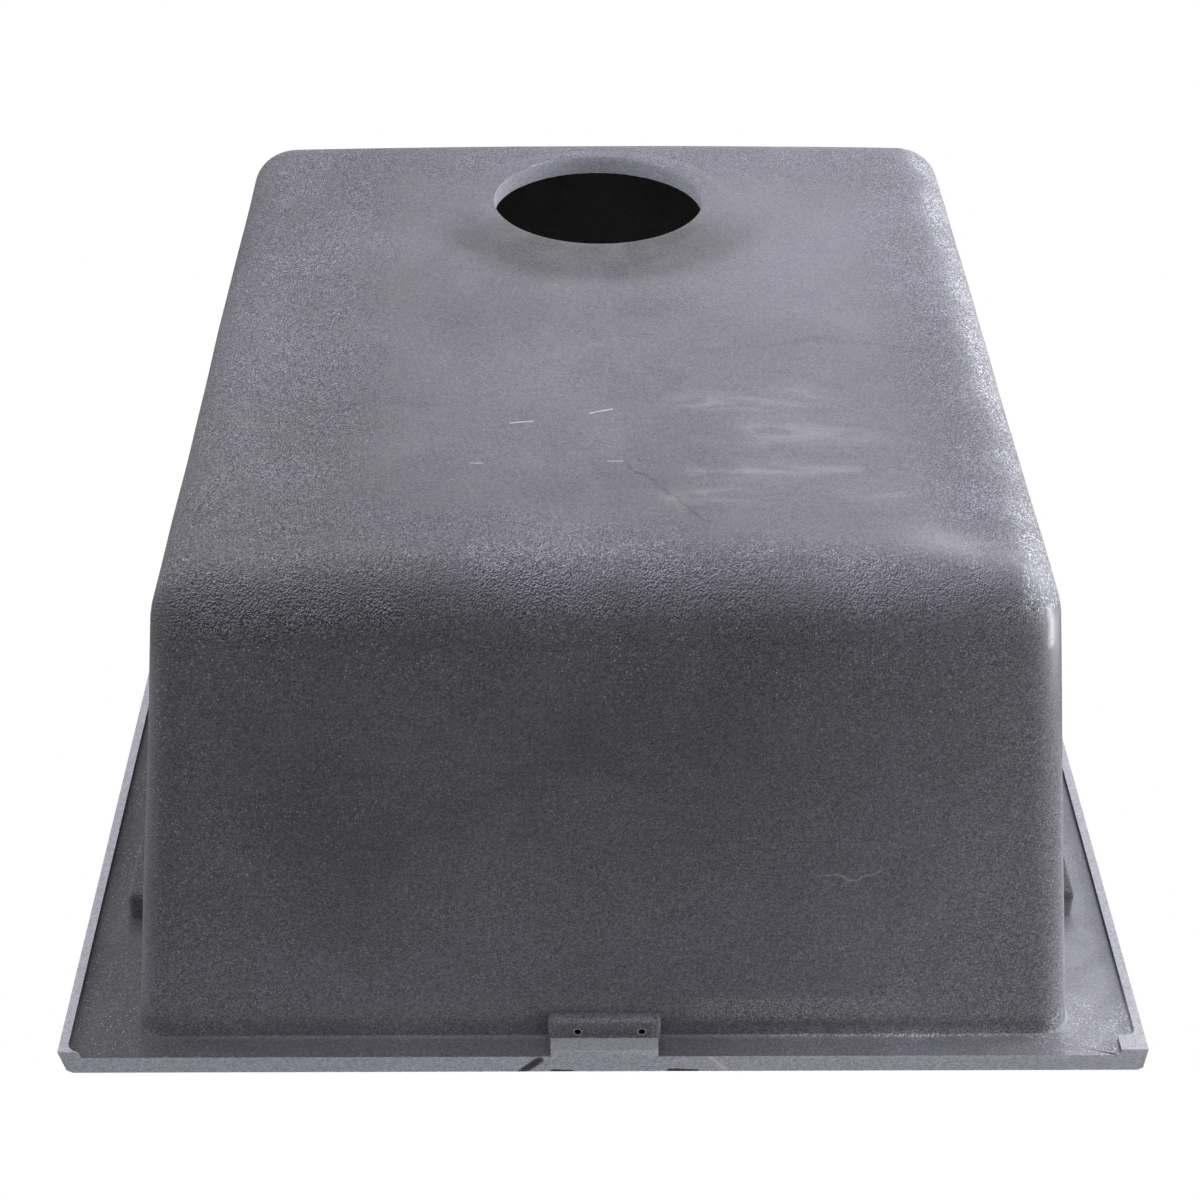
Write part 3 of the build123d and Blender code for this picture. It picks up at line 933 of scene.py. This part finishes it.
def dust_and_sheen_mask(skin):
    """Pebbly dust, and painted light: the left bottom edge and its front corner, recess, drain's wall
    with painted light towards its right, lip, front boss, tab, the crest over the front wall and that wall's
    foot."""
    x, y, z, lift = skin.x, skin.y, skin.z, skin.lift
    dust_and_sheen = 0.88 * bell(x, -151, 11) * smooth(lift, 27, 8) * (1 - 0.55 * smooth(y, -172, -190))
    dust_and_sheen += 0.35 * smooth(x, -135, -152) * smooth(y, -165, -188) * smooth(lift, 24, 6)
    dust_and_sheen += 0.25 * skin.left_corner * bell(lift, 4, 6)
    dust_and_sheen += skin.recess * (0.04 + 0.12 * smooth(x, 0, -90)) + 0.12 * skin.recess_edge
    # Drain's wall: dust, and painted light growing towards its right side
    bore = (np.abs(skin.from_drain - DRAIN_R) < 0.1) & (z > 0.3) & (z < LAND)
    dust_and_sheen += bore * (0.1 + 0.4 * smooth(x, 5, 36)) + 0.22 * bell(z, Z_LIP, 0.8)
    on_middle = np.abs(x) < BOSS_HALF + 0.5
    dust_and_sheen += 0.05 * (on_middle & (y < FOOT_FRONT - 2) & (z < Z_LIP + 0.5))
    boss_low = Z_RECESS - BOSS_HEIGHT
    boss_edges = np.maximum(smooth(np.abs(x), BOSS_HALF - 1.6, BOSS_HALF - 0.4),
                            smooth(z, boss_low + 1.5, boss_low))
    dust_and_sheen += 0.25 * (on_middle & (y < FOOT_FRONT - 0.5) & (z < Z_LIP)) * boss_edges
    dust_and_sheen += 0.25 * ((x < TAB_INNER) & (y < TAB_BACK) & (z < Z_LIP + 0.5))
    on_crest = skin.at_front * smooth(lift, 0.5, 3) * smooth(lift, 15, 7)
    dust_and_sheen += on_crest * (0.04 + 0.2 * smooth(x, 60, -130))
    at_foot = bell(z, Z_RECESS - 0.8, 0.7) * (y < FOOT_FRONT + 3) * (np.abs(x) < FOOT_HALF)
    dust_and_sheen += at_foot * (0.1 + 0.5 * smooth(x, -20, -100))
    dust_and_sheen += 0.28 * smooth(x, -158, -170) * smooth(z, 110, 190) * smooth(y, -180, -205)
    return dust_and_sheen + 0.8 * skin.spot((-168, -208, 190), (4, 5, 3))


def haze_and_highlight_mask(skin):
    """Smooth dust and painted light: a brushed patch and the corner at the left front, a painted glow round
    the painted highlight down the left front corner, pale dust and painted rim light on the front's upright
    edges, and the recess on the left."""
    x, y, z, lift = skin.x, skin.y, skin.z, skin.lift
    haze_and_highlight = 0.26 * bell(skin.off_stretch((-112, -167), (-146, -182)), 0, 9) * smooth(lift, 12, 2)
    haze_and_highlight += 0.7 * bell(x, -149, 6) * bell(y, -184, 6) * smooth(lift, 14, 4)
    haze_and_highlight += 0.05 * skin.below * smooth(x, -10, -80)
    haze_and_highlight += 0.17 * skin.recess * smooth(x, 0, -100) + 0.3 * skin.recess_edge
    # Left front corner: a painted glow round its painted highlight, and a pale strip of dust and painted rim
    # light up the corner
    corner_glow_and_dust = 0.75 * bell(lift, 19, 14) + 0.3 * smooth(lift, 110, 30) * smooth(lift, 6, 24)
    haze_and_highlight += skin.left_corner * corner_glow_and_dust
    # Right front corner: painted rim light
    right_corner_rim_light = bell(skin.corner_angle(1, 37), 30, 14) * ((x > 120) & (y < -150) & (z < Z_RECESS - 2))
    haze_and_highlight += 0.12 * right_corner_rim_light * smooth(lift, 18, 40)
    # Left upright edge: pale dust and painted rim light
    haze_and_highlight += 0.4 * skin.left_edge * smooth(lift, 45, 120) * smooth(skin.left_turn, 48, 18)
    return haze_and_highlight + 0.75 * skin.spot((-171, -208.5, 193.5), (3, 3.5, 2.5))


def sand_and_rim_light_mask(skin):
    """Fine pale grains, and painted rim light: the left upright edge, both ends of the front wall and above
    its foot.
    """
    x, z = skin.x, skin.z
    on_front = 0.3 * skin.wall * smooth(x, -95, -160) + 0.1 * skin.wall * smooth(x, 100, 150)
    on_front += 0.6 * bell(z, 182, 5) * smooth(x, -18, -50) * smooth(x, -128, -96) + 0.15 * bell(z, 183, 6)
    # Left upright edge: pale grains and painted rim light
    return 0.75 * skin.left_edge * smooth(skin.lift, 40, 110) + skin.on_front * on_front


def streak_mask(skin):
    """Wiped streaks on the underside: a soft patch and four strokes."""
    streak = 0.25 * bell(skin.x, -75, 50) * bell(skin.y, -100, 45)
    for near, far, half in (((-33, -124), (-110, -121), 4), ((-33, -71), (-75, -67.5), 7),
                            ((-20, -140), (-103, -136), 4), ((-58, -95), (-90, -102), 8)):
        streak += bell(skin.off_stretch(near, far), 0, half)
    return streak * skin.below


def fleck_mask(skin):
    """Mineral flecks: on the walls, most at the ends of the front and rear and near the bottom."""
    most = np.maximum(smooth(np.abs(skin.x), 60, 150), smooth(skin.lift, 60, 25))
    return 0.05 + 0.95 * skin.wall * (0.4 + 0.6 * most)


def paint_masks(mesh):
    """Lays the masks on the points."""
    skin = Skin(mesh)
    masks = {"relief_and_painted_shade": relief_and_painted_shade_mask, "pale_and_painted_light": pale_and_painted_light_mask, "dust_and_sheen": dust_and_sheen_mask, "fleck": fleck_mask,
             "streak": streak_mask, "haze_and_highlight": haze_and_highlight_mask, "sand_and_rim_light": sand_and_rim_light_mask}
    for name, mask in masks.items():
        layer = mesh.attributes.new(name, "FLOAT", "POINT")
        layer.data.foreach_set("value", np.clip(mask(skin), 0, 1).astype(np.float32))


def shade_smooth(mesh, degrees):
    """Smooth shading, with edges sharp where faces turn by more than the angle."""
    mesh.polygons.foreach_set("use_smooth", np.ones(len(mesh.polygons), bool))
    mesh.set_sharp_from_angle(angle=math.radians(degrees))


share_out_faces(casting.data)
paint_masks(casting.data)
shade_smooth(casting.data, 32)
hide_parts("sink_bowl")
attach(casting, "root")
sleeve_finish = sleeve_plastic()
for name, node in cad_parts.items():
    if name.startswith("clip_sleeve"):
        node.data.materials.clear()
        node.data.materials.append(sleeve_finish)


# Stage, light and camera
def make_floor():
    """Pale floor under the standing sink: painted shadow near it, glowing white far off, clear from below."""
    half, drop = 6000.0, 0.05
    corners = half * np.array([[-1, -1, 0], [1, -1, 0], [1, 1, 0], [-1, 1, 0]]) - [0, 0, drop]
    floor = placed("floor", filled_mesh("floor", corners, [[0, 1, 2, 3]]))
    made, web, shader = new_finish("floor_paper")
    # Painted shadow: darker where the sink closes the floor in
    near = web.put("ShaderNodeAmbientOcclusion", {"Distance": 0.3}, samples=8).outputs["AO"]
    web.give(shader["Base Color"], web.blend(web.ramp(near, 0.1, 0.95), *PAPER_SHADOW_TONES))
    # Glow that grows with distance, so that the floor turns white far off
    distance = web.vector("LENGTH", web.place(), out=1)
    shader["Emission Color"].default_value = (1, 1, 1, 1)
    web.give(shader["Emission Strength"], web.ramp(distance, 0.4, 1.7))
    shader["Roughness"].default_value = 0.9
    shader["Specular IOR Level"].default_value = 0.1
    geometry = web.put("ShaderNodeNewGeometry")
    clear = web.put("ShaderNodeBsdfTransparent")
    nodes = made.node_tree.nodes
    paper = nodes["Principled BSDF"].outputs[0]
    sides = web.put("ShaderNodeMixShader", {0: geometry.outputs["Backfacing"], 1: paper, 2: clear.outputs[0]})
    web.give(nodes["Material Output"].inputs[0], sides.outputs[0])
    floor.data.materials.append(made)
    for ray in ("diffuse", "glossy", "transmission", "shadow"):
        setattr(floor, f"visible_{ray}", False)


def make_world():
    """White where it is seen or mirrored; the light it gives is grey, and brighter from below."""
    world = bpy.data.worlds.new("studio")
    world.use_nodes = True
    bpy.context.scene.world = world
    web = Web(world.node_tree)
    path = web.put("ShaderNodeLightPath").outputs
    seen = web.sums("MAXIMUM", path["Is Glossy Ray"], path["Is Transmission Ray"])
    seen = web.sums("MAXIMUM", path["Is Camera Ray"], seen)
    heading = web.put("ShaderNodeTexCoord").outputs["Generated"]
    rise = web.put("ShaderNodeSeparateXYZ", {0: heading}).outputs[2]
    given = web.ramp(rise, -0.3, 0.4, 0.6, 0.10)
    sky = world.node_tree.nodes["Background"].inputs
    sky["Color"].default_value = (1, 1, 1, 1)
    web.give(sky["Strength"], web.sums("MAXIMUM", seen, given))


def set_place(thing, axes, place):
    """Puts an object at a place with its axes as the columns of a turn."""
    rows = np.vstack([np.column_stack([axes, place]), [0, 0, 0, 1]])
    thing.matrix_world = Matrix(rows.tolist())
    bpy.context.scene.collection.objects.link(thing)


# Lamps: place and aim in metres, width in metres and watts
LAMPS = {
    "key": ((-0.15, 1.08, -1.15), (0, 0, 0.05), 1.1, 29),
    "front_fill": ((-1.625, -1.1, 0.42), (-0.05, -0.2, 0.12), 0.8, 11.2),
    "left_fill": ((1.25, 0.05, -0.35), (0, 0, 0.08), 0.9, 5),
    "right_fill": ((-1.3, 0.1, -0.3), (-0.1, 0, 0.05), 0.7, 9),
    "overhead": ((-0.2, 0.75, 1.85), (0, 0, 0.1), 0.95, 46),
}

# Camera: yaw, pitch and roll in degrees, place in metres, lens and film in millimetres
CAMERA_TURNS = (0.918495, 33.26874, 0.485732)
CAMERA_PLACE = (0.013978, -0.903207, -0.452350)
LENS, FILM = 75.549, 36.0


def softbox(name, place, aim, size, watts):
    """Square soft lamp at a place, facing a point."""
    lamp = bpy.data.lights.new(name, "AREA")
    lamp.shape, lamp.size, lamp.energy = "SQUARE", size, watts
    back = np.subtract(place, aim, dtype=float)
    back /= np.linalg.norm(back)
    side = np.cross((0.0, 1.0, 0.02), back)
    side /= np.linalg.norm(side)
    axes = np.column_stack([side, np.cross(back, side), back])
    set_place(bpy.data.objects.new(name, lamp), axes, place)


def make_camera():
    """Camera at the photograph's place: below the floor, in front of the sink, with the picture
    turned by half a turn, because the sink was photographed standing on its rim."""
    yaw, pitch, roll = np.radians(CAMERA_TURNS)
    ahead = np.array([np.sin(yaw) * np.cos(pitch), np.cos(yaw) * np.cos(pitch), -np.sin(pitch)])
    right = np.array([np.cos(yaw), -np.sin(yaw), 0])
    up = np.cross(right, ahead)
    right, up = np.cos(roll) * right + np.sin(roll) * up, np.cos(roll) * up - np.sin(roll) * right
    over = np.array([-1, 1, -1])
    camera = bpy.data.objects.new("camera", bpy.data.cameras.new("camera"))
    camera.data.sensor_width, camera.data.lens = FILM, LENS
    set_place(camera, np.column_stack([right * over, up * over, -ahead * over]), CAMERA_PLACE)
    bpy.context.scene.camera = camera


make_floor()
make_world()
for name, lamp in LAMPS.items():
    softbox(name, *lamp)
make_camera()
bpy.context.scene.view_settings.view_transform = "Standard"
